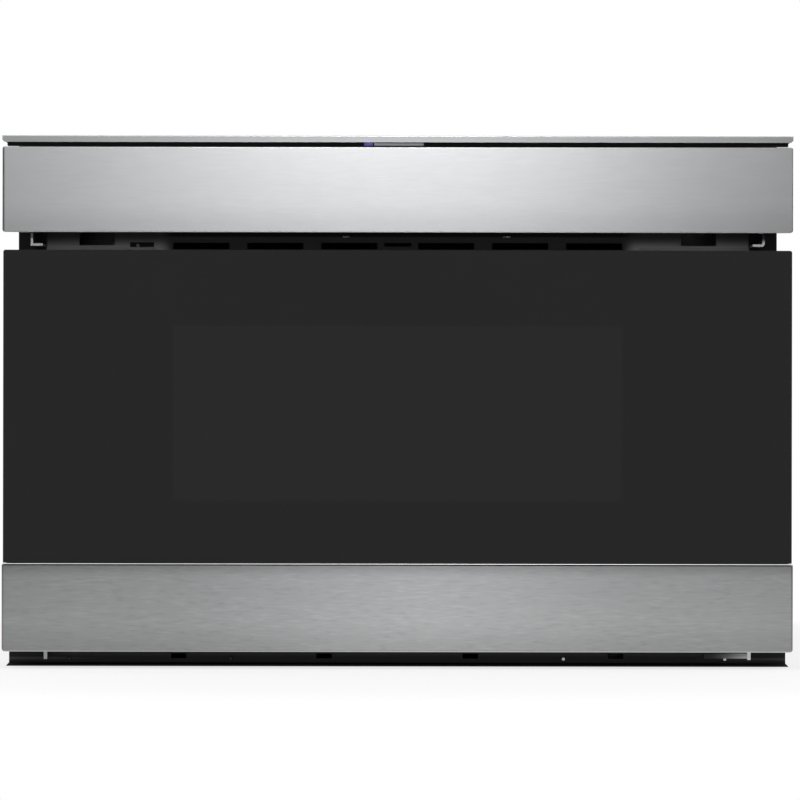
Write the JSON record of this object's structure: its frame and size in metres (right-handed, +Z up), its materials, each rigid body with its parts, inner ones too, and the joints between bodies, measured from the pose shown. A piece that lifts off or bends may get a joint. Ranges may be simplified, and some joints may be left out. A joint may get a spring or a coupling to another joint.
{
  "type": "microwave drawer",
  "caption": "Built-in microwave oven whose glass-fronted drawer slides out under a tilting control panel.",
  "frame": {"origin": "on the shelf, under the middle of the object's bounding box", "axes": "+X to the viewer's right, +Y from the front to the back, +Z up"},
  "size_m": [0.6064, 0.641, 0.4088],
  "materials": {
    "base_plate": "galvanised sheet",
    "feet": "moulded",
    "outer_wrap": "galvanised sheet",
    "back_plate": "galvanised sheet",
    "cord_gland": "moulded",
    "front_frame": "black satin powder coat",
    "bottom_trim": "black satin powder coat",
    "top_trim": "stainless, brushed along X",
    "sensor_bar": "black",
    "wave_sensor_lens": "smoked grey lens",
    "status_led": "blue light",
    "hinge_bracket_left": "bright zinc",
    "hinge_bracket_right": "bright zinc",
    "gear_sector": "white acetal",
    "panel_front": "stainless, brushed along X",
    "panel_housing": "black",
    "touch_glass": "black printed glass",
    "key_board": "green circuit board",
    "display_module": "dark display",
    "hinge_pins": "turned steel",
    "panel_gear_motor": "dark grey",
    "panel_pinion": "white acetal",
    "drawer_strip": "stainless, brushed along X",
    "drawer_glass": "black printed glass",
    "door_frame": "black",
    "door_back": "grey enamel",
    "choke_cover": "black",
    "inner_glass": "clear",
    "window_screen": "black perforated sheet",
    "drawer_walls": "light grey enamel",
    "ceramic_floor": "glass-ceramic",
    "rails_outer": "bright zinc",
    "rail_middle_left": "bright zinc",
    "rail_middle_right": "bright zinc",
    "rails_inner": "bright zinc",
    "door_brackets": "bright zinc",
    "cross_bar": "bright zinc",
    "drawer_rack": "white acetal",
    "drive_pinion": "white acetal",
    "drive_motor": "dark grey",
    "latch_hooks": "white acetal",
    "plunger_left": "red",
    "plunger_right": "red",
    "interlock_switches": "black",
    "oven_cavity": "light grey enamel",
    "antenna_cover": "mica",
    "antenna": "stamped",
    "antenna_motor": "black",
    "waveguide": "galvanised sheet",
    "magnetron": "stamped",
    "oven_lamp": "white",
    "fan_housing": "black",
    "fan_rotor": "dark grey",
    "fan_motor": "grey",
    "exhaust_duct": "black",
    "hv_transformer": "varnished laminations",
    "hv_capacitor": "drawn can",
    "control_board": "green circuit board",
    "cabinet_screws": "bright zinc",
    "drawer_screws": "bright zinc"
  },
  "bodies": {
    "cabinet": {"base_plate": "base_plate", "feet": "feet", "outer_wrap": "outer_wrap", "back_plate": "back_plate", "cord_gland": "cord_gland", "front_frame": "front_frame", "bottom_trim": "bottom_trim", "top_trim": "top_trim", "sensor_bar": "sensor_bar", "wave_sensor_lens": "wave_sensor_lens", "status_led": "status_led", "hinge_bracket_left": "hinge_bracket_left", "hinge_bracket_right": "hinge_bracket_right", "gear_sector": "gear_sector", "rails_outer": "rails_outer", "drive_motor": "drive_motor", "interlock_switches": "interlock_switches", "oven_cavity": "oven_cavity", "antenna_cover": "antenna_cover", "antenna_motor": "antenna_motor", "waveguide": "waveguide", "magnetron": "magnetron", "oven_lamp": "oven_lamp", "fan_housing": "fan_housing", "fan_motor": "fan_motor", "exhaust_duct": "exhaust_duct", "hv_transformer": "hv_transformer", "hv_capacitor": "hv_capacitor", "control_board": "control_board", "cabinet_screws": "cabinet_screws"},
    "drawer": {"drawer_strip": "drawer_strip", "drawer_glass": "drawer_glass", "door_frame": "door_frame", "door_back": "door_back", "choke_cover": "choke_cover", "inner_glass": "inner_glass", "window_screen": "window_screen", "drawer_walls": "drawer_walls", "ceramic_floor": "ceramic_floor", "rails_inner": "rails_inner", "door_brackets": "door_brackets", "cross_bar": "cross_bar", "drawer_rack": "drawer_rack", "latch_hooks": "latch_hooks", "drawer_screws": "drawer_screws"},
    "control_panel": {"panel_front": "panel_front", "panel_housing": "panel_housing", "touch_glass": "touch_glass", "key_board": "key_board", "display_module": "display_module", "hinge_pins": "hinge_pins", "panel_gear_motor": "panel_gear_motor"},
    "rail_middle_left": {"rail_middle_left": "rail_middle_left"},
    "rail_middle_right": {"rail_middle_right": "rail_middle_right"},
    "drive_pinion": {"drive_pinion": "drive_pinion"},
    "panel_pinion": {"panel_pinion": "panel_pinion"},
    "fan_rotor": {"fan_rotor": "fan_rotor"},
    "antenna": {"antenna": "antenna"},
    "plunger_left": {"plunger_left": "plunger_left"},
    "plunger_right": {"plunger_right": "plunger_right"}
  },
  "joints": [
    {"name": "drawer_slide", "type": "slide", "parent": "cabinet", "child": "drawer", "axis": [0, -1, 0], "range_m": [0, 0.375]},
    {"name": "rail_left_slide", "type": "slide", "parent": "cabinet", "child": "rail_middle_left", "axis": [0, -1, 0], "range_m": [0, 0.1875]},
    {"name": "rail_right_slide", "type": "slide", "parent": "cabinet", "child": "rail_middle_right", "axis": [0, -1, 0], "range_m": [0, 0.1875]},
    {"name": "drive_pinion_spin", "type": "hinge", "parent": "cabinet", "child": "drive_pinion", "pos_m": [0.15, -0.2145, 0.044], "axis": [1, 0, 0], "range_deg": [-2, 1196]},
    {"name": "panel_tilt", "type": "hinge", "parent": "cabinet", "child": "control_panel", "pos_m": [0, -0.313, 0.3392], "axis": [1, 0, 0], "range_deg": [0, 74]},
    {"name": "panel_pinion_spin", "type": "hinge", "parent": "control_panel", "child": "panel_pinion", "pos_m": [0.278, -0.29327, 0.34799], "axis": [1, 0, 0], "range_deg": [-2, 150]},
    {"name": "fan_spin", "type": "hinge", "parent": "cabinet", "child": "fan_rotor", "pos_m": [0.125, 0.2485, 0.152], "axis": [1, 0, 0], "continuous": true},
    {"name": "antenna_spin", "type": "hinge", "parent": "cabinet", "child": "antenna", "pos_m": [0, -0.0385, 0.092], "axis": [0, 0, 1], "continuous": true},
    {"name": "plunger_left_slide", "type": "slide", "parent": "cabinet", "child": "plunger_left", "axis": [0, 1, 0], "range_m": [0, 0.0012], "stiffness_N_per_m": 400},
    {"name": "plunger_right_slide", "type": "slide", "parent": "cabinet", "child": "plunger_right", "axis": [0, 1, 0], "range_m": [0, 0.0012], "stiffness_N_per_m": 400}
  ],
  "couplings": [
    {"joint": "rail_left_slide", "follows": "drawer_slide", "ratio": 0.5},
    {"joint": "rail_right_slide", "follows": "drawer_slide", "ratio": 0.5},
    {"joint": "drive_pinion_spin", "follows": "drawer_slide", "rad_per_m": 55.556},
    {"joint": "panel_pinion_spin", "follows": "panel_tilt", "ratio": 2}
  ]
}
